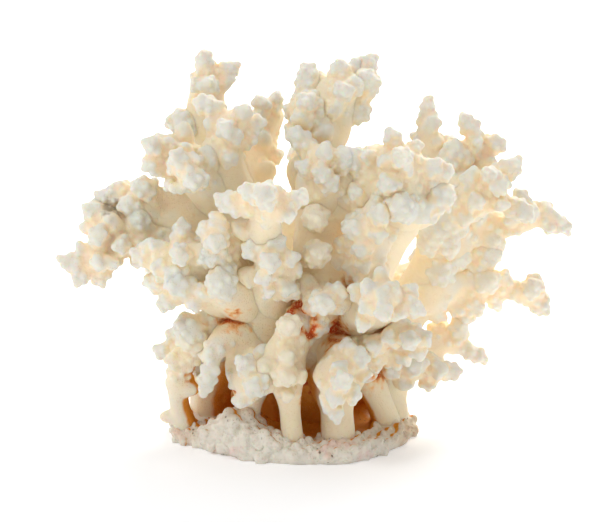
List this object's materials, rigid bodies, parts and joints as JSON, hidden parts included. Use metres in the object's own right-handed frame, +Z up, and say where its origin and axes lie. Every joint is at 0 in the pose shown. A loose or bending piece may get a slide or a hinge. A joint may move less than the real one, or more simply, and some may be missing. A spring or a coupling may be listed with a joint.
{
  "type": "branching coral",
  "caption": "Bleached branching coral colony with knobbly branch ends, smooth stems and a crusty plate cut flat to stand on.",
  "frame": {"origin": "on the surface that the colony stands on, under the middle of its outline", "axes": "+X to the viewer's right across the colony's width, +Y away from the viewer, +Z up"},
  "size_m": [0.202, 0.147, 0.154],
  "materials": {
    "coral_branches": "matt",
    "coral_stems": "matt",
    "base_crust": "matt"
  },
  "bodies": {
    "root": {"base_plate": "base_crust", "crust_lip": "base_crust", "trunk": "coral_stems", "left_wall": "coral_stems", "front_left_column": "coral_stems", "centre_column": "coral_stems", "front_right_column": "coral_stems", "right_column": "coral_stems", "outer_right_column": "coral_stems", "cave_column": "coral_stems", "back_left_column": "coral_stems", "back_column": "coral_stems", "back_right_column": "coral_stems", "left_stem": "coral_stems", "centre_stem": "coral_stems", "right_stem": "coral_stems", "far_right_stem": "coral_stems", "back_stem": "coral_stems", "tall_left_branch": "coral_branches", "left_front_branch": "coral_branches", "left_back_branch": "coral_branches", "upper_left_branch": "coral_branches", "outer_left_back_branch": "coral_branches", "outer_left_branch": "coral_branches", "far_left_branch": "coral_branches", "left_middle_branch": "coral_branches", "left_upright_branch": "coral_branches", "left_low_branch": "coral_branches", "left_stub": "coral_branches", "left_back_knobs": "coral_branches", "front_left_branch": "coral_branches", "front_crown_branch": "coral_branches", "middle_branch": "coral_branches", "front_knobs": "coral_branches", "front_stub": "coral_branches", "front_centre_branch": "coral_branches", "front_right_branch": "coral_branches", "front_right_low_branch": "coral_branches", "tall_centre_branch": "coral_branches", "tall_centre_left_branch": "coral_branches", "tall_centre_right_branch": "coral_branches", "centre_front_branch": "coral_branches", "right_front_branch": "coral_branches", "right_finger_branch": "coral_branches", "right_inner_knobs": "coral_branches", "right_back_branch": "coral_branches", "far_right_back_branch": "coral_branches", "far_right_branch": "coral_branches", "outermost_right_branch": "coral_branches", "right_twig": "coral_branches", "right_low_branch": "coral_branches", "right_lowest_branch": "coral_branches", "right_hanging_branch": "coral_branches", "back_left_upper_branch": "coral_branches", "back_left_lower_branch": "coral_branches", "back_crown_branch": "coral_branches", "back_middle_branch": "coral_branches", "back_right_upper_branch": "coral_branches", "back_right_lower_branch": "coral_branches"}
  },
  "joints": []
}
